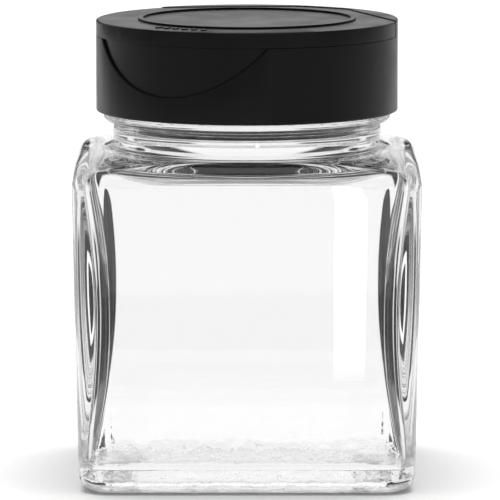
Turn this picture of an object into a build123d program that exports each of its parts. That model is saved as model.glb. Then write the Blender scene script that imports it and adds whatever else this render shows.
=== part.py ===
from build123d import *
import math
import os

# Square clear-glass jar with a round black flip-top screw cap.
# Millimetres, +Z up, origin at the centre of the base, front face towards -Y.

# --- driving dimensions of the glass body ---
width_base = 58.0          # across the flats at the foot
width_shoulder = 60.4      # across the flats just under the shoulder
shoulder_z = 57.4          # top of the shoulder at the neck
corner_radius = 6.0        # upright corners, in plan
shoulder_fillet = 3.4
dome_radius = 32.0         # of that curve, seen in a section through the axis
foot_fillet = 3.0
wall_top = 2.8             # side wall under the shoulder
wall_middle = 4.3          # the blown glass is thickest half way up
wall_floor = 1.9
base_thickness = 4.0
inner_corner = 2.0         # upright corners of the cavity
cavity_fillet = 1.9
roof_thickness = 2.8       # glass over the cavity, under the shoulder
push_up_depth = 1.2        # hollow under the foot
push_up_margin = 6.5       # from the side of the foot to the edge of that hollow

# --- neck and screw finish ---
finish_radius = 22.5       # plain glass between the threads
neck_wall = 2.9
waist_step = 1.1           # how far the waist stands out from the plain glass
flare = 1.8                # concave radius from the shoulder into the waist
dome_margin = 1.2          # flat ring between the flare and the shoulder's downward curve
bead_step = 2.6            # how far the transfer bead under the cap stands out from the plain glass
bead_above_shoulder = 5.2
bead_height = 1.6
finish_height = 11.5       # from the top of the bead to the rim
rim_round = 0.9

# --- thread ---
thread_lead = 5.0
thread_height = 1.2
thread_root_width = 2.1
thread_crest_width = 0.9
thread_sink = 0.4          # how far a ridge's root is sunk in its wall
thread_start_above_bead = 3.6
thread_clear_of_rim = 0.85 # plain glass above the thread's upper end
thread_gap = 0.25          # between the flanks that touch when the cap is tight

# --- cap ---
skirt_wall = 2.35
flap_height = 2.65         # visible edge of the flap, down to the seam
skirt_clear_of_bead = 0.2  # from the transfer bead up to the skirt
skirt_gap = 0.3            # from the glass thread's crest to the skirt's bore
deck_thickness = 1.1
edge_round = 0.3
scoop_radius = 20.4
scoop_above_skirt = 4.45   # lowest point of the finger scoop above the skirt's edge
scoop_depth = 0.5
opening_angle = -122.5     # direction of the finger scoop, from +X
ear_inset = 3.82           # from the cap's side to the seams beside the hinge
bridge_rise = 0.15         # how far the bridge behind the hinge stands above the flap
ear_turn = 38.0            # how far those seams are turned from the hinge's direction
hinge_inset = 1.85         # from the cap's side to the hinge line
hinge_gap = 1.0            # length of the bare film
film_thickness = 0.35
seam = 0.3                 # gap round the flap
seat_gap = 0.1             # gap under the flap's edge

# --- flap details ---
flap_plate = 1.2
flap_rim = 1.3
ring_inset = 7.35          # from the cap's side to the raised ring on the flap
ring_width = 0.85
ring_rise = 0.34

# --- sifter and seals ---
sifter_hole_radius = 2.5
sifter_ring_radius = 8.2
sifter_ring_count = 6
collar_radius = 14.6       # outer radius of the collar round the sifter holes
collar_thickness = 1.0
collar_height = 0.9
plug_gap = 0.2             # between the collar and the flap's sealing ring
plug_thickness = 1.0
liner_thickness = 0.75
liner_inset = 0.35         # from the glass rim's edges to the liner's edges

# --- places worked out from the sizes above ---
mouth_radius = finish_radius - neck_wall
waist_radius = finish_radius + waist_step
bead_radius = finish_radius + bead_step
bore_radius = finish_radius + thread_height + skirt_gap
cap_radius = bore_radius + skirt_wall
hinge_distance = cap_radius - hinge_inset
ear_distance = cap_radius - ear_inset
ring_radius = cap_radius - ring_inset
dome_start = waist_radius + flare + dome_margin
corner_reach = (width_shoulder / 2 - corner_radius) * math.sqrt(2) + corner_radius
bead_z = shoulder_z + bead_above_shoulder
bead_top_z = bead_z + bead_height / 2
rim_z = bead_top_z + finish_height
skirt_z = bead_top_z + skirt_clear_of_bead
deck_z = rim_z + liner_thickness
deck_top_z = deck_z + deck_thickness
seam_z = deck_top_z + seat_gap
cap_top_z = seam_z + flap_height
thread_start_z = bead_top_z + thread_start_above_bead
thread_climb = rim_z - thread_clear_of_rim - thread_root_width / 2 - thread_start_z
hinge_angle = opening_angle + 180.0
hinge_z = cap_top_z - film_thickness / 2
overlap = 1.0              # how far cutting and joining shapes run past a face


def rounded_square(width, radius, z):
    return Pos(0, 0, z) * RectangleRounded(width, width, radius)


def disc(radius, low, high):
    return Pos(0, 0, low) * Cylinder(radius, high - low, align=(Align.CENTER, Align.CENTER, Align.MIN))


def tube(outer, inner, low, high):
    return disc(outer, low, high) - disc(inner, low - overlap, high + overlap)


def thread_ridge(wall_radius, outward, start_z):
    """Helical ridge on a round wall, pointing away from the axis or towards it."""
    side = 1 if outward else -1
    root = wall_radius - side * thread_sink
    crest = wall_radius + side * thread_height
    corners = [
        (root, start_z - thread_root_width / 2),
        (crest, start_z - thread_crest_width / 2),
        (crest, start_z + thread_crest_width / 2),
        (root, start_z + thread_root_width / 2),
    ]
    section = Plane.XZ * make_face(Polyline(corners, close=True))
    path = Pos(0, 0, start_z) * Helix(thread_lead, thread_climb, wall_radius)
    return sweep(section, path=path, is_frenet=True)


def width_at(z):
    return width_base + (width_shoulder - width_base) * z / shoulder_z


def make_glass_jar():
    body = loft([
        rounded_square(width_base, corner_radius, 0),
        rounded_square(width_shoulder, corner_radius, shoulder_z),
    ])
    reach = width_shoulder
    run = corner_reach + overlap - dome_start
    fall = dome_radius - math.sqrt(dome_radius ** 2 - run ** 2)
    with BuildSketch(Plane.XZ) as dome_half:
        with BuildLine():
            dome_edge = (dome_start, shoulder_z)
            dome_end = (dome_start + run, shoulder_z - fall)
            Line((0, -overlap), (0, shoulder_z))
            Line((0, shoulder_z), dome_edge)
            RadiusArc(dome_edge, dome_end, dome_radius)
            Line(dome_end, (reach, shoulder_z - fall))
            Line((reach, shoulder_z - fall), (reach, -overlap))
            Line((reach, -overlap), (0, -overlap))
        make_face()
    body = body & revolve(dome_half.sketch, Axis.Z)
    top_edges = [edge for edge in body.edges() if edge.center().Z > shoulder_z - fall
                 and math.hypot(edge.center().X, edge.center().Y) > dome_start + overlap]
    body = fillet(top_edges, shoulder_fillet)
    body = fillet(body.faces().sort_by(Axis.Z)[0].edges(), foot_fillet)

    with BuildSketch(Plane.XZ) as half:
        with BuildLine():
            flare_start = (waist_radius + flare, shoulder_z)
            flare_end = (waist_radius, shoulder_z + flare)
            bead_low = (waist_radius, bead_z - bead_height / 2)
            bead_high = (waist_radius, bead_top_z)
            bead_end = (finish_radius, bead_top_z)
            Line((0, shoulder_z - overlap), (waist_radius + flare, shoulder_z - overlap))
            Line((waist_radius + flare, shoulder_z - overlap), flare_start)
            RadiusArc(flare_start, flare_end, flare)
            Line(flare_end, bead_low)
            ThreePointArc(bead_low, (bead_radius, bead_z), bead_high)
            Line(bead_high, bead_end)
            Line(bead_end, (finish_radius, rim_z - rim_round))
            RadiusArc((finish_radius, rim_z - rim_round), (finish_radius - rim_round, rim_z), -rim_round)
            Line((finish_radius - rim_round, rim_z), (0, rim_z))
            Line((0, rim_z), (0, shoulder_z - overlap))
        make_face()
    neck = revolve(half.sketch, Axis.Z)

    cavity_top = shoulder_z - roof_thickness
    levels = [
        (base_thickness, wall_floor),
        ((base_thickness + cavity_top) / 2, wall_middle),
        (cavity_top, wall_top),
    ]
    cavity = loft([rounded_square(width_at(z) - 2 * side, inner_corner, z) for z, side in levels])
    cavity = fillet(cavity.faces().sort_by(Axis.Z)[-1].edges(), cavity_fillet)
    cavity = fillet(cavity.faces().sort_by(Axis.Z)[0].edges(), cavity_fillet)
    bore = disc(mouth_radius, cavity_top - overlap, rim_z + overlap)
    push_up = loft([
        rounded_square(width_base - 2 * push_up_margin, corner_radius, 0),
        rounded_square(width_base - 2 * push_up_margin - 4 * push_up_depth, corner_radius, push_up_depth),
    ])
    ridge = thread_ridge(finish_radius, True, thread_start_z)
    return body + neck + ridge - cavity - bore - push_up


def flap_outline(grow, radius):
    """Plan of the flap: a disc cut by the hinge line and the two seams beside it."""
    plan = Circle(radius)
    big = 4 * cap_radius
    for turn, distance in (
        (-ear_turn, ear_distance + grow),
        (ear_turn, ear_distance + grow),
        (0, hinge_distance - hinge_gap / 2 + grow * hinge_gap / seam),
    ):
        plan -= Rot(0, 0, turn) * Pos(distance, 0) * Rectangle(big, big, align=(Align.MIN, Align.CENTER))
    return Rot(0, 0, hinge_angle) * plan


def outer_edges(solid, end):
    """The rim edges of the cap's outside, at its lower end (0) or its upper end (-1)."""
    rings = solid.edges().filter_by(GeomType.CIRCLE)
    return [edge for edge in rings.group_by(Axis.Z)[end] if abs(edge.radius - cap_radius) < 0.01]


def make_cap_shell():
    shell = disc(cap_radius, skirt_z, cap_top_z + bridge_rise)
    shell = fillet(outer_edges(shell, 0) + outer_edges(shell, -1), edge_round)
    shell -= disc(bore_radius, skirt_z - overlap, deck_z)
    pocket = Pos(0, 0, deck_top_z) * flap_outline(seam, 2 * cap_radius)
    shell -= extrude(pocket, cap_top_z + bridge_rise - deck_top_z + overlap)
    shell += tube(collar_radius, collar_radius - collar_thickness, deck_top_z - overlap / 2,
                  deck_top_z + collar_height)
    ridge_z = thread_start_z - (thread_root_width + thread_crest_width) / 2 - thread_gap
    shell += thread_ridge(bore_radius, False, ridge_z)

    shell -= disc(sifter_hole_radius, deck_z - overlap, deck_top_z + overlap)
    for hole in PolarLocations(sifter_ring_radius, sifter_ring_count, start_angle=hinge_angle):
        shell -= Pos(*hole.position) * disc(sifter_hole_radius, deck_z - overlap, deck_top_z + overlap)

    scoop_centre_z = skirt_z + scoop_above_skirt + scoop_radius
    across = Pos(cap_radius, 0, scoop_centre_z) * Rot(0, 90, 0) * Cylinder(scoop_radius, 2 * cap_radius)
    scoop = across & tube(cap_radius + overlap, cap_radius - scoop_depth, skirt_z, deck_top_z + overlap)
    shell -= Rot(0, 0, opening_angle) * scoop
    lip = [edge for edge in shell.edges().filter_by(GeomType.CIRCLE, reverse=True)
           if edge.length > scoop_radius and abs(math.hypot((edge @ 0.5).X, (edge @ 0.5).Y) - cap_radius) < 0.01]
    return fillet(lip, edge_round)


def make_flip_flap():
    low = seam_z
    plan = flap_outline(0, cap_radius)
    flap = extrude(Pos(0, 0, low) * plan, cap_top_z - low)
    flap = fillet(outer_edges(flap, -1), edge_round)
    hollow = offset(plan, -flap_rim, kind=Kind.INTERSECTION)
    flap -= extrude(Pos(0, 0, low - overlap) * hollow, cap_top_z - flap_plate - low + overlap)
    plug_outer = collar_radius - collar_thickness - plug_gap
    flap += tube(plug_outer, plug_outer - plug_thickness, deck_top_z + 2 * plug_gap, cap_top_z - flap_plate)
    flap += tube(ring_radius, ring_radius - ring_width, cap_top_z, cap_top_z + ring_rise)
    return flap


def make_hinge_film():
    """The thin web that the flap bends on, between the flap and the bridge behind it."""
    half_turn = math.radians(ear_turn)
    half_length = (ear_distance - hinge_distance * math.cos(half_turn)) / math.sin(half_turn)
    film = Box(hinge_gap, 2 * (abs(half_length) - seam - flap_rim / 2), film_thickness)
    return Rot(0, 0, hinge_angle) * Pos(hinge_distance, 0, hinge_z) * film


def make_sealing_liner():
    return tube(finish_radius - liner_inset, mouth_radius + liner_inset, rim_z, deck_z)


pieces = {
    "glass_jar": make_glass_jar,
    "cap_shell": make_cap_shell,
    "flip_flap": make_flip_flap,
    "hinge_film": make_hinge_film,
    "sealing_liner": make_sealing_liner,
}

os.makedirs("parts", exist_ok=True)
for name, make in pieces.items():
    piece = make()
    print(name, "solids:", len(piece.solids()), "volume:", round(piece.volume, 1), "valid:", piece.is_valid)
    export_step(piece, f"parts/{name}.step")
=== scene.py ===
import math

import bmesh
import bpy
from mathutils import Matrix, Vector


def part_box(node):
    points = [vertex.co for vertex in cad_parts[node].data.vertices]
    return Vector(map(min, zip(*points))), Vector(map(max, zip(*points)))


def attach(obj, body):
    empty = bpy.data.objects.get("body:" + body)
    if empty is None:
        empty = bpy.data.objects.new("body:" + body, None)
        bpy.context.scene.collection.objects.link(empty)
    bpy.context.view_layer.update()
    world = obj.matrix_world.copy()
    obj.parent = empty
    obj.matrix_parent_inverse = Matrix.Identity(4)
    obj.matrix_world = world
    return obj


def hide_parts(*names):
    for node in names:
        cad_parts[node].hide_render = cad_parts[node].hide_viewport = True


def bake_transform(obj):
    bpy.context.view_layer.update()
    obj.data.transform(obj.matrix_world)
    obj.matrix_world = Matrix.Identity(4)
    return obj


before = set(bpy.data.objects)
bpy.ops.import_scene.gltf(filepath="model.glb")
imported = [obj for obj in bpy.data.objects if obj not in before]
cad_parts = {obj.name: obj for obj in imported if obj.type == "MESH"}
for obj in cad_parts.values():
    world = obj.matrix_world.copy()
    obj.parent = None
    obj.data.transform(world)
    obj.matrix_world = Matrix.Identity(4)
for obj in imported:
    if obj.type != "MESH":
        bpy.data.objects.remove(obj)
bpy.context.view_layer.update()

# Camera. A long lens stands a little over a metre away and looks slightly down at the front face,
# as in a product picture, so the upright edges stay nearly parallel.
camera_distance = 1.140
camera_pitch = 7.4
look_at = Vector((0.00053, 0.0, 0.0388))
lens = bpy.data.cameras.new("product_lens")
lens.lens = 468.0
lens.sensor_width = 36.0
lens.clip_start = 0.01
lens.clip_end = 20.0
camera = bpy.data.objects.new("camera", lens)
bpy.context.scene.collection.objects.link(camera)
pitch = math.radians(camera_pitch)
camera.location = look_at + camera_distance * Vector((0.0, -math.cos(pitch), math.sin(pitch)))
camera.rotation_euler = (math.radians(90.0) - pitch, 0.0, 0.0)
bpy.context.scene.camera = camera


# Studio floor: a plain white sheet of laminate that the jar stands on. It is large enough to fill the
# picture from every side, and lies a hair under the foot so that glass and floor don't share a face.
def hex_colour(text):
    """sRGB hex to the linear RGBA that a shader takes."""
    channels = [int(text[i:i + 2], 16) / 255.0 for i in (1, 3, 5)]
    linear = [c / 12.92 if c <= 0.04045 else ((c + 0.055) / 1.055) ** 2.4 for c in channels]
    return (*linear, 1.0)


def new_material(name, **sockets):
    """A material with one Principled shader, and the values for its own sockets."""
    material = bpy.data.materials.new(name)
    material.use_nodes = True
    shader = material.node_tree.nodes["Principled BSDF"]
    for socket, value in sockets.items():
        shader.inputs[socket.replace("_", " ")].default_value = value
    return material, shader


def add_node(owner, kind, settings=None, **links):
    """One more node: settings are its properties, and links its inputs, as values or as other sockets.
    The owner is a material, a world or a geometry tree. An input goes by its number, as _0, or its name."""
    tree = owner if isinstance(owner, bpy.types.NodeTree) else owner.node_tree
    node = tree.nodes.new(kind)
    for key, value in (settings or {}).items():
        setattr(node, key, value)
    for key, value in links.items():
        socket = node.inputs[int(key[1:])] if key[1:].isdigit() else node.inputs[key.replace("_", " ")]
        if isinstance(value, bpy.types.NodeSocket):
            tree.links.new(value, socket)
        else:
            socket.default_value = value
    return node


def mesh_object(name, points, faces, material=None):
    """A smooth-shaded mesh at the origin, from points in metres."""
    mesh = bpy.data.meshes.new(name)
    mesh.from_pydata([tuple(p) for p in points], [], faces)
    mesh.validate()
    mesh.polygons.foreach_set("use_smooth", [True] * len(mesh.polygons))
    item = bpy.data.objects.new(name, mesh)
    bpy.context.scene.collection.objects.link(item)
    if material:
        mesh.materials.append(material)
    return item


floor_size = 12.0
floor_drop = 0.00005
laminate, _ = new_material("white_matt_laminate", Base_Color=hex_colour("#f4f4f4"), Roughness=0.7)
half = floor_size / 2
floor = mesh_object(
    "studio_floor",
    [(-half, -half, -floor_drop), (half, -half, -floor_drop),
     (half, half, -floor_drop), (-half, half, -floor_drop)],
    [(0, 1, 2, 3)],
    laminate,
)


# Studio light: one wide softbox overhead, and a white room whose lower part has dark flats between
# bright gaps. Glass has no colour of its own, so those flats are what draws its edges. A lit strip in
# front makes the tall highlight on the glass.
softbox_size = 1.8
softbox_power = 40.0
softbox_place = Vector((0.0, 0.3, 1.9))
softbox_aim = Vector((0.0, 0.1, 0.0))
light = bpy.data.lights.new("overhead_softbox", "AREA")
light.shape = "SQUARE"
light.size = softbox_size
light.energy = softbox_power
softbox = bpy.data.objects.new("overhead_softbox", light)
bpy.context.scene.collection.objects.link(softbox)
softbox.location = softbox_place
softbox.rotation_euler = (softbox_aim - softbox_place).to_track_quat("-Z", "Y").to_euler()
softbox.visible_transmission = False
softbox.visible_glossy = False
floor.visible_transmission = False
bpy.context.scene.view_settings.view_transform = "Standard"
# Light that is caught inside the glass needs many bounces to get out again, or the edges go black.
bpy.context.scene.cycles.max_bounces = 32
bpy.context.scene.cycles.glossy_bounces = 24
bpy.context.scene.cycles.transmission_bounces = 24

# The room, from below to above: the edges are elevations in degrees, and the levels are brightness.
table_level = 0.97
table_edge = -23.0
low_flat_top = -13.0
flat_top = 6.5
wall_level = 0.92
wall_top_edge = 26.0
upper_wall_level = 0.35
ceiling_edge = 58.0
ceiling_level = 0.95
# The flats stand beside a gap at each of the four axes: these are degrees from the nearest axis.
gap_half_width = 3.4
gap_blur = 1.6
gap_level = 1.05
flat_level = 0.008
low_flat_outer = 18.0
low_flat_blur = 9.0
flat_outer = 36.0
flat_blur = 6.0
corner_level = 0.85
# Straight in front of the jar the gap is closed by one more dark flat, between these values of -y.
front_flat_inner = 0.985
front_flat_outer = 0.93
front_flat_level = 0.05
room = bpy.data.worlds.new("studio_room")
room.use_nodes = True
direction = add_node(room, "ShaderNodeTexCoord").outputs["Generated"]
axes = add_node(room, "ShaderNodeSeparateXYZ", _0=direction).outputs


smooth = {"interpolation_type": "SMOOTHSTEP"}


def stack_on(lower, upper, degrees, blur=1.0):
    """The lower level up to an elevation, and the upper level above it."""
    start, end = math.sin(math.radians(degrees - blur)), math.sin(math.radians(degrees + blur))
    share = add_node(room, "ShaderNodeMapRange", smooth, _0=axes[2], _1=start, _2=end, _3=0.0, _4=1.0)
    mix = add_node(room, "ShaderNodeMix", {"data_type": "FLOAT"}, _0=share.outputs[0], _2=lower, _3=upper)
    return mix.outputs[0]


azimuth = add_node(room, "ShaderNodeMath", {"operation": "ARCTAN2"}, _0=axes[1], _1=axes[0])
quarter_turns = add_node(room, "ShaderNodeMath", {"operation": "DIVIDE"},
                         _0=azimuth.outputs[0], _1=math.radians(90.0))
folded = add_node(room, "ShaderNodeMath", {"operation": "PINGPONG"}, _0=quarter_turns.outputs[0], _1=0.5)
off_axis = add_node(room, "ShaderNodeMath", {"operation": "MULTIPLY"},
                    _0=folded.outputs[0], _1=90.0).outputs[0]
gaps = add_node(room, "ShaderNodeMapRange", smooth, _0=off_axis, _1=gap_half_width,
                _2=gap_half_width + gap_blur, _3=gap_level, _4=flat_level)
low_corners = add_node(room, "ShaderNodeMapRange", smooth, _0=off_axis, _1=low_flat_outer,
                       _2=low_flat_outer + low_flat_blur, _3=0.0, _4=corner_level)
corners = add_node(room, "ShaderNodeMapRange", smooth, _0=off_axis, _1=flat_outer,
                   _2=flat_outer + flat_blur, _3=0.0, _4=corner_level)
low_flats = add_node(room, "ShaderNodeMath", {"operation": "ADD"},
                     _0=gaps.outputs[0], _1=low_corners.outputs[0])
flats = add_node(room, "ShaderNodeMath", {"operation": "ADD"}, _0=gaps.outputs[0], _1=corners.outputs[0])
front = add_node(room, "ShaderNodeMapRange", smooth, _0=axes[1], _1=-front_flat_inner,
                 _2=-front_flat_outer, _3=front_flat_level, _4=1.0)
all_flats = add_node(room, "ShaderNodeMath", {"operation": "MULTIPLY"},
                     _0=flats.outputs[0], _1=front.outputs[0])
level = stack_on(table_level, low_flats.outputs[0], table_edge, blur=2.0)
level = stack_on(level, all_flats.outputs[0], low_flat_top)
level = stack_on(level, wall_level, flat_top)
level = stack_on(level, upper_wall_level, wall_top_edge, blur=8.0)
level = stack_on(level, ceiling_level, ceiling_edge, blur=4.0)
background = room.node_tree.nodes["Background"]
background.inputs["Color"].default_value = (1.0, 1.0, 1.0, 1.0)
room.node_tree.links.new(level, background.inputs["Strength"])
bpy.context.scene.world = room

strip_left = 0.0160
strip_right = 0.0218
strip_low = 0.0005
strip_high = 0.046
strip_y = -0.130
strip_fade_top = 0.018
strip_low_strength = 2.0
strip_strength = 10.0
strip_light, shader = new_material("lit_white_strip", Base_Color=hex_colour("#000000"), Roughness=1.0)
shader.inputs["Emission Color"].default_value = hex_colour("#ffffff")
strip_place = add_node(strip_light, "ShaderNodeTexCoord").outputs["Object"]
strip_height = add_node(strip_light, "ShaderNodeSeparateXYZ", _0=strip_place).outputs[2]
fade = add_node(strip_light, "ShaderNodeMapRange", _0=strip_height, _1=strip_low, _2=strip_fade_top,
                _3=strip_low_strength, _4=strip_strength)
strip_light.node_tree.links.new(fade.outputs[0], shader.inputs["Emission Strength"])
strip = mesh_object(
    "strip_reflector",
    [(strip_left, strip_y, strip_low), (strip_right, strip_y, strip_low),
     (strip_right, strip_y, strip_high), (strip_left, strip_y, strip_high)],
    [(0, 1, 2, 3)],
    strip_light,
)
strip.visible_camera = False
strip.visible_diffuse = False
strip.visible_transmission = False
strip.visible_shadow = False


# Glass jar: clear soda-lime glass, blown in a mould, so it is one piece with rounded edges, a heavy foot
# and a wall that is thickest half way up. The neck carries a transfer bead and a one-start screw thread.
mm = 0.001
width_shoulder = 60.4
width_base = 58.0
shoulder_z = 57.4
corner_radius = 6.0
shoulder_fillet = 3.4
dome_start = 26.6
dome_radius = 32.0
foot_fillet = 3.0
wall_floor = 1.9
wall_middle = 4.3
wall_top = 2.8
base_thickness = 4.0
roof_thickness = 2.8
inner_corner = 2.0
cavity_fillet = 1.9
push_up_depth = 1.2
push_up_half = 22.5
push_up_corner = 3.0
waist_radius = 23.6
flare = 1.8
bead_radius = 25.1
bead_z = 62.6
bead_height = 1.6
finish_radius = 22.5
finish_fillet = 0.5
mouth_radius = 19.6
rim_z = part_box("glass_jar")[1].z / mm
rim_round = 0.9
thread_lead = 5.0
thread_turns = 1.2
thread_start_z = 67.0
thread_height = 1.2
thread_half_root = 0.93
thread_half_crest = 0.45
thread_rows = 0.2
sharpest_corner = 0.05
side_steps = 24
corner_steps = 14


def square_ring(half_width, corner, z):
    """Points round a rounded square, always the same number, so that rings can be joined."""
    corner = max(corner, sharpest_corner)
    ring = []
    straight = half_width - corner
    quarter_angles = [math.radians(90.0) * i / corner_steps for i in range(corner_steps)]
    quarter = [(straight + corner * math.cos(a), straight + corner * math.sin(a)) for a in quarter_angles]
    quarter += [(straight - 2 * straight * i / side_steps, half_width) for i in range(side_steps)]
    for k in range(4):
        turn = math.radians(90.0 * k)
        ring += [(x * math.cos(turn) - y * math.sin(turn), x * math.sin(turn) + y * math.cos(turn), z)
                 for x, y in quarter]
    return ring


ring_angles = [math.atan2(y, x) for x, y, _ in square_ring(width_shoulder / 2, corner_radius, 0)]


def round_ring(radius, z, bulge=None):
    """The same number of points round a circle. bulge(angle, z) adds to the radius."""
    ring = []
    for a in ring_angles:
        r = radius + (bulge(a, z) if bulge else 0.0)
        ring.append((r * math.cos(a), r * math.sin(a), z))
    return ring


def mixed_ring(first, second, share):
    return [tuple(p + (q - p) * share for p, q in zip(a, b)) for a, b in zip(first, second)]


def arc(steps, start, end):
    """Angles in radians from just after start to end, both in degrees."""
    return [math.radians(start + (end - start) * (i + 1) / steps) for i in range(steps)]


def outer_half(z):
    return (width_base + (width_shoulder - width_base) * z / shoulder_z) / 2


def thread_bulge(angle, z):
    """How far the thread stands out of the finish, with ends that run out over a sixth of a turn."""
    total = 0.0
    for k in range(-1, 3):
        turns = angle / (2 * math.pi) + k
        if turns < 0 or turns > thread_turns:
            continue
        off = abs(z - thread_start_z - thread_lead * turns)
        if off < thread_half_root:
            flank = (thread_half_root - off) / (thread_half_root - thread_half_crest)
            fade = min(1.0, 6 * turns, 6 * (thread_turns - turns))
            total = max(total, thread_height * min(1.0, flank) * math.sin(fade * math.pi / 2))
    return total


rings = []
for share in (0.25, 0.5, 0.75, 0.9):
    half_width = (push_up_half - 2 * push_up_depth) * share
    rings.append(square_ring(half_width, push_up_corner * share, push_up_depth))
for a in arc(6, 0, 90):
    half_width = push_up_half - push_up_depth * (1 + math.cos(a))
    rings.append(square_ring(half_width, corner_radius, push_up_depth * (1 - math.sin(a) ** 2)))
rings.append(square_ring((push_up_half + outer_half(0) - foot_fillet) / 2, corner_radius, 0.0))
for a in [0.0] + arc(9, 0, 90):
    inset = foot_fillet * (1 - math.sin(a))
    z = foot_fillet * (1 - math.cos(a))
    rings.append(square_ring(outer_half(z) - inset, corner_radius - inset, z))
half_width = outer_half(shoulder_z) - shoulder_fillet
inner_edge = square_ring(half_width, corner_radius - shoulder_fillet, shoulder_z)


def dome_fall(x, y):
    """How far the shoulder has curved down at a point, from the dome's start towards a corner."""
    beyond = max(0.0, math.hypot(x, y) - dome_start)
    return dome_radius - math.sqrt(dome_radius ** 2 - beyond ** 2)


top_levels = [shoulder_z - dome_fall(x, y) for x, y, _ in inner_edge]
side_top = shoulder_z - shoulder_fillet
for i in range(1, 24):
    share = i / 24
    ring = square_ring(outer_half(foot_fillet + (side_top - foot_fillet) * share), corner_radius, 0)
    rings.append([(x, y, foot_fillet + (top - shoulder_fillet - foot_fillet) * share)
                  for (x, y, _), top in zip(ring, top_levels)])
for a in [0.0] + arc(12, 0, 90):
    inset = shoulder_fillet * (1 - math.cos(a))
    ring = square_ring(outer_half(side_top) - inset, corner_radius - inset, 0)
    drop = shoulder_fillet * (1 - math.sin(a))
    rings.append([(x, y, top - drop) for (x, y, _), top in zip(ring, top_levels)])
edge_ring = rings[-1]
neck_ring = round_ring(waist_radius + flare, shoulder_z)
for i in range(1, 10):
    flat = mixed_ring(edge_ring, neck_ring, i / 10)
    rings.append([(x, y, shoulder_z - dome_fall(x, y)) for x, y, _ in flat])
for a in [0.0] + arc(8, 0, 90):
    rings.append(round_ring(waist_radius + flare * (1 - math.sin(a)), shoulder_z + flare * (1 - math.cos(a))))
bead_low = bead_z - bead_height / 2
rings.append(round_ring(waist_radius, bead_low - 0.15))
for a in arc(12, -90, 90):
    radius = waist_radius + (bead_radius - waist_radius) * math.cos(a)
    rings.append(round_ring(radius, bead_z + bead_height / 2 * math.sin(a)))
finish_low = bead_z + bead_height / 2
for a in arc(4, 0, 90):
    radius = finish_radius + finish_fillet * (1 - math.sin(a))
    rings.append(round_ring(radius, finish_low + finish_fillet * (1 - math.cos(a))))
z = finish_low + finish_fillet + thread_rows
while z < rim_z - rim_round:
    rings.append(round_ring(finish_radius, z, thread_bulge))
    z += thread_rows
for a in [0.0] + arc(7, 0, 90):
    radius = finish_radius - rim_round * (1 - math.cos(a))
    rings.append(round_ring(radius, rim_z - rim_round * (1 - math.sin(a))))
for a in [0.0] + arc(7, 0, 90):
    radius = mouth_radius + rim_round * (1 - math.sin(a))
    rings.append(round_ring(radius, rim_z - rim_round * (1 - math.cos(a))))
roof_z = shoulder_z - roof_thickness
neck_low = roof_z + flare
for i in range(1, 13):
    rings.append(round_ring(mouth_radius, rim_z - rim_round + (neck_low - rim_z + rim_round) * i / 12))
for a in arc(8, 0, 90):
    rings.append(round_ring(mouth_radius + flare * (1 - math.cos(a)), neck_low - flare * math.sin(a)))


def inner_ring(z, inset=0.0):
    """The cavity's outline at a height: a smooth curve through the three wall thicknesses."""
    t = (z - base_thickness) / (roof_z - base_thickness)
    wall = wall_floor * (1 - t) * (1 - 2 * t) + wall_middle * 4 * t * (1 - t) + wall_top * t * (2 * t - 1)
    return square_ring(outer_half(z) - wall - inset, inner_corner - inset, z)


roof_ring = inner_ring(roof_z, cavity_fillet)
mouth_ring = rings[-1]
for i in range(1, 6):
    rings.append(mixed_ring(mouth_ring, roof_ring, i / 5))
for a in arc(8, 0, 90):
    rings.append(inner_ring(roof_z - cavity_fillet * (1 - math.cos(a)), cavity_fillet * (1 - math.sin(a))))
cavity_low = base_thickness + cavity_fillet
cavity_high = roof_z - cavity_fillet
for i in range(1, 32):
    rings.append(inner_ring(cavity_high + (cavity_low - cavity_high) * i / 32))
for a in [0.0] + arc(8, 0, 90):
    z = base_thickness + cavity_fillet * (1 - math.sin(a))
    rings.append(inner_ring(z, cavity_fillet * (1 - math.cos(a))))
floor_ring = rings[-1]
for share in (0.8, 0.6, 0.4, 0.2):
    rings.append([(x * share, y * share, z) for x, y, z in floor_ring])


def skin(rings, low_pole, high_pole):
    """Points and faces of a closed shell through the rings, with a pole at each end."""
    count = len(rings[0])
    points = [low_pole] + [p for ring in rings for p in ring] + [high_pole]
    faces = [(0, 1 + (i + 1) % count, 1 + i) for i in range(count)]
    for k in range(len(rings) - 1):
        a, b = 1 + k * count, 1 + (k + 1) * count
        faces += [(a + i, a + (i + 1) % count, b + (i + 1) % count, b + i) for i in range(count)]
    last = 1 + (len(rings) - 1) * count
    faces += [(last + i, last + (i + 1) % count, len(points) - 1) for i in range(count)]
    return [tuple(c * mm for c in p) for p in points], faces


# Fire-polished glass: colourless and mirror smooth, with long faint waves where the parison touched the
# mould, and mottled near the floor, where the gob chilled first. The eye reads the bent lines as thickness.
wave_size = 11.0
wave_depth = 0.006
chill_size = 3.6
chill_depth = 0.22
chill_top = 13.0
glass, shader = new_material(
    "fire_polished_soda_lime_glass",
    Base_Color=hex_colour("#fcfcfc"),
    Roughness=0.0,
    IOR=1.52,
    Transmission_Weight=1.0,
)
place = add_node(glass, "ShaderNodeTexCoord").outputs["Object"]
height = add_node(glass, "ShaderNodeSeparateXYZ", _0=place).outputs[2]
long_waves = add_node(glass, "ShaderNodeTexNoise", Vector=place, Scale=1.0 / (wave_size * mm), Detail=2.0)
waves = add_node(glass, "ShaderNodeMath", {"operation": "MULTIPLY"}, _0=long_waves.outputs[0], _1=wave_depth)
near_floor = add_node(glass, "ShaderNodeMapRange", smooth,
                      _0=height, _1=base_thickness * mm, _2=chill_top * mm, _3=chill_depth, _4=0.0)
mottle = add_node(glass, "ShaderNodeTexNoise", Vector=place, Scale=1.0 / (chill_size * mm), Detail=3.0)
chill = add_node(glass, "ShaderNodeMath", {"operation": "MULTIPLY_ADD"},
                 _0=mottle.outputs[0], _1=near_floor.outputs[0], _2=waves.outputs[0])
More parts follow.
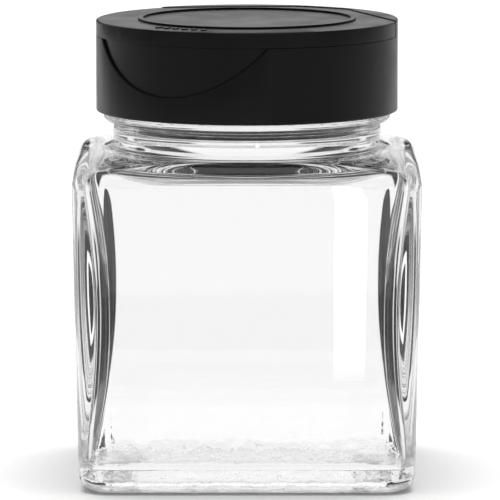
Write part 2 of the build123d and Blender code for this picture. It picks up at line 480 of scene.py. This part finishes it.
relief = add_node(glass, "ShaderNodeBump", Strength=1.0, Distance=mm, Height=chill.outputs[0])
glass.node_tree.links.new(relief.outputs[0], shader.inputs["Normal"])
points, faces = skin(rings, (0, 0, push_up_depth), (0, 0, base_thickness))
jar = mesh_object("glass_body", points, faces, glass)
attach(jar, "jar")
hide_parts("glass_jar")


# Sealing liner: a washer punched from white foamed polyethylene sheet. It sits loose in the cap,
# and the closed cap presses it on the glass rim.
cell_size = 0.35
cell_depth = 0.03
cloud_size = 6.0
foam, shader = new_material("white_foamed_polyethylene", Base_Color=hex_colour("#e9e9e6"), Roughness=0.6)
place = add_node(foam, "ShaderNodeTexCoord").outputs["Object"]
cells = add_node(foam, "ShaderNodeTexVoronoi", Vector=place, Scale=1.0 / (cell_size * mm))
relief = add_node(foam, "ShaderNodeBump", Strength=0.7, Distance=cell_depth * mm, Height=cells.outputs[0])
foam.node_tree.links.new(relief.outputs[0], shader.inputs["Normal"])
clouds = add_node(foam, "ShaderNodeTexNoise", Vector=place, Scale=1.0 / (cloud_size * mm), Detail=2.0)
tone = add_node(foam, "ShaderNodeMapRange", _0=clouds.outputs[0], _1=0.3, _2=0.7, _3=0.0, _4=1.0)
tint = add_node(foam, "ShaderNodeMix", {"data_type": "RGBA"}, _0=tone.outputs[0],
                _6=hex_colour("#e2e1dc"), _7=hex_colour("#f0f0ee"))
foam.node_tree.links.new(tint.outputs[2], shader.inputs["Base Color"])
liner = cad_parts["sealing_liner"]
liner.data.materials.clear()
liner.data.materials.append(foam)


# Cap shell: skirt, deck with sifter holes, and inner thread, injection moulded in one shot of black
# polypropylene. Its outside is spark-eroded in the mould, so it is a fine even matt that dulls reflections.
gloss_patch_size = 7.0
sharp_edge = 25.0


def black_plastic(name, grain_size, grain_depth, smoothest, roughest):
    """Moulded black polypropylene: fine mould grain, cloudy gloss, and a trace of dust in the tone."""
    material, shader = new_material(
        name, Base_Color=hex_colour("#080809"), Roughness=roughest, IOR=1.49, Specular_IOR_Level=0.13
    )
    place = add_node(material, "ShaderNodeTexCoord").outputs["Object"]
    clouds = add_node(material, "ShaderNodeTexNoise", Vector=place,
                      Scale=1.0 / (gloss_patch_size * mm), Detail=4.0).outputs[0]
    gloss = add_node(material, "ShaderNodeMapRange", _0=clouds, _1=0.35, _2=0.65, _3=smoothest, _4=roughest)
    material.node_tree.links.new(gloss.outputs[0], shader.inputs["Roughness"])
    tint = add_node(material, "ShaderNodeMix", {"data_type": "RGBA"}, _0=clouds,
                    _6=hex_colour("#050506"), _7=hex_colour("#0a0a0b"))
    material.node_tree.links.new(tint.outputs[2], shader.inputs["Base Color"])
    grain = add_node(material, "ShaderNodeTexNoise", Vector=place, Scale=1.0 / (grain_size * mm), Detail=3.0)
    relief = add_node(material, "ShaderNodeBump",
                      Strength=0.6, Distance=grain_depth * mm, Height=grain.outputs[0])
    material.node_tree.links.new(relief.outputs[0], shader.inputs["Normal"])
    return material


def finished_copy(node, name, material, body):
    """A CAD piece with its loose triangles joined, shaded smooth up to its real edges."""
    sharp = math.radians(sharp_edge)
    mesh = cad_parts[node].data.copy()
    work = bmesh.new()
    work.from_mesh(mesh)
    bmesh.ops.remove_doubles(work, verts=work.verts, dist=0.000001)
    for face in work.faces:
        face.smooth = True
    for edge in work.edges:
        edge.smooth = len(edge.link_faces) != 2 or edge.calc_face_angle(0.0) < sharp
    work.to_mesh(mesh)
    work.free()
    mesh.materials.clear()
    mesh.materials.append(material)
    item = bpy.data.objects.new(name, mesh)
    bpy.context.scene.collection.objects.link(item)
    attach(item, body)
    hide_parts(node)


skirt_plastic = black_plastic("spark_eroded_black_polypropylene", 0.22, 0.006, 0.32, 0.40)
finished_copy("cap_shell", "moulded_cap_shell", skirt_plastic, "cap")


# Flip flap: the round lid of the cap, moulded with the shell and snapped shut over the sifter holes.
# Its top is a little smoother than the skirt, and a raised ring stiffens it.
flap_plastic = black_plastic("satin_black_polypropylene", 0.18, 0.004, 0.30, 0.37)
finished_copy("flip_flap", "moulded_flip_flap", flap_plastic, "flap")


# Opening marks: six short raised bars in the flap's top, moulded with it, that show the thumb
# where to lift.
mark_count = 6
mark_radius = 22.4
mark_step = 4.6
mark_middle = -120.8
mark_length = 1.3
mark_width = 0.75
mark_height = 0.4
flap_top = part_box("hinge_film")[1].z / mm
marks_tree = bpy.data.node_groups.new("raised_bars_on_an_arc", "GeometryNodeTree")
marks_tree.interface.new_socket("Geometry", in_out="OUTPUT", socket_type="NodeSocketGeometry")
inputs = {}
for label, kind in (("Count", "Int"), ("Radius", "Float"), ("Step", "Float"), ("Middle", "Float"),
                    ("Top", "Float"), ("Bar Size", "Vector"), ("Finish", "Material")):
    inputs[label] = marks_tree.interface.new_socket(label, in_out="INPUT", socket_type="NodeSocket" + kind)
given = marks_tree.nodes.new("NodeGroupInput").outputs
line = add_node(marks_tree, "GeometryNodeMeshLine", _0=given["Count"])
index = marks_tree.nodes.new("GeometryNodeInputIndex").outputs[0]
middle_index = add_node(marks_tree, "ShaderNodeMath", {"operation": "MULTIPLY_ADD"},
                        _0=given["Count"], _1=0.5, _2=-0.5)
off_middle = add_node(marks_tree, "ShaderNodeMath", {"operation": "SUBTRACT"},
                      _0=index, _1=middle_index.outputs[0])
angle = add_node(marks_tree, "ShaderNodeMath", {"operation": "MULTIPLY_ADD"},
                 _0=off_middle.outputs[0], _1=given["Step"], _2=given["Middle"]).outputs[0]
cosine = add_node(marks_tree, "ShaderNodeMath", {"operation": "COSINE"}, _0=angle)
sine = add_node(marks_tree, "ShaderNodeMath", {"operation": "SINE"}, _0=angle)
across = add_node(marks_tree, "ShaderNodeMath", {"operation": "MULTIPLY"},
                  _0=cosine.outputs[0], _1=given["Radius"])
along = add_node(marks_tree, "ShaderNodeMath", {"operation": "MULTIPLY"},
                 _0=sine.outputs[0], _1=given["Radius"])
spot = add_node(marks_tree, "ShaderNodeCombineXYZ",
                _0=across.outputs[0], _1=along.outputs[0], _2=given["Top"])
spots = add_node(marks_tree, "GeometryNodeSetPosition", _0=line.outputs[0], _2=spot.outputs[0])
block = add_node(marks_tree, "GeometryNodeMeshCube", _0=given["Bar Size"])
bar = add_node(marks_tree, "GeometryNodeSubdivisionSurface", _0=block.outputs[0], _1=3, _2=0.75)
turn = add_node(marks_tree, "ShaderNodeCombineXYZ", _2=angle)
bars = add_node(marks_tree, "GeometryNodeInstanceOnPoints",
                _0=spots.outputs[0], _2=bar.outputs[0], _5=turn.outputs[0])
real = add_node(marks_tree, "GeometryNodeRealizeInstances", _0=bars.outputs[0])
painted = add_node(marks_tree, "GeometryNodeSetMaterial", _0=real.outputs[0], _2=given["Finish"])
result = marks_tree.nodes.new("NodeGroupOutput")
marks_tree.links.new(painted.outputs[0], result.inputs[0])

source = bpy.data.objects.new("marks_source", bpy.data.meshes.new("marks_source"))
bpy.context.scene.collection.objects.link(source)
modifier = source.modifiers.new("raised_bars", "NODES")
modifier.node_group = marks_tree
modifier[inputs["Count"].identifier] = mark_count
modifier[inputs["Radius"].identifier] = mark_radius * mm
modifier[inputs["Step"].identifier] = math.radians(mark_step)
modifier[inputs["Middle"].identifier] = math.radians(mark_middle)
modifier[inputs["Top"].identifier] = flap_top * mm
modifier[inputs["Bar Size"].identifier] = (mark_length * mm, mark_width * mm, mark_height * mm)
modifier[inputs["Finish"].identifier] = flap_plastic
shape = bpy.data.meshes.new_from_object(source.evaluated_get(bpy.context.evaluated_depsgraph_get()))
bpy.data.objects.remove(source)
marks = bpy.data.objects.new("opening_marks", shape)
bpy.context.scene.collection.objects.link(marks)
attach(marks, "flap")


# Hinge film: the thin web that joins flap and shell. It is the same plastic, squeezed to a third of a
# millimetre and hollowed underneath, so it bends thousands of times and its skin turns glossy.
film_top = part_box("hinge_film")[1].z
opening_angle = -122.5
hinge_distance = 24.5
film_width = 1.0
film_length = 8.58
film_thickness = 0.35
film_hollow = 0.1
film_steps = 16
film_sharp_edge = 40.0
hinge_turn = math.radians(opening_angle + 180)
outward = Vector((math.cos(hinge_turn), math.sin(hinge_turn), 0))
sideways = Vector((-outward.y, outward.x, 0))
points = []
for i in range(film_steps + 1):
    t = 1 - 2 * i / film_steps
    from_axis = (hinge_distance + t * film_width / 2) * mm
    bottom = film_top - (film_thickness - film_hollow * (1 - t * t)) * mm
    for side, z in ((-1, bottom), (1, bottom), (1, film_top), (-1, film_top)):
        points.append(outward * from_axis + sideways * (side * film_length / 2 * mm) + Vector((0, 0, z)))
faces = [(3, 2, 1, 0)]
for i in range(film_steps):
    a, b = 4 * i, 4 * i + 4
    faces += [(a + k, a + (k + 1) % 4, b + (k + 1) % 4, b + k) for k in range(4)]
faces.append(tuple(4 * film_steps + k for k in range(4)))
film_plastic = black_plastic("worked_black_polypropylene_film", 0.4, 0.003, 0.20, 0.28)
film = mesh_object("living_hinge_film", points, faces, film_plastic)
work = bmesh.new()
work.from_mesh(film.data)
bmesh.ops.recalc_face_normals(work, faces=work.faces)
for edge in work.edges:
    edge.smooth = edge.calc_face_angle(0.0) < math.radians(film_sharp_edge)
work.to_mesh(film.data)
work.free()
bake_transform(film)
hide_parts("hinge_film")
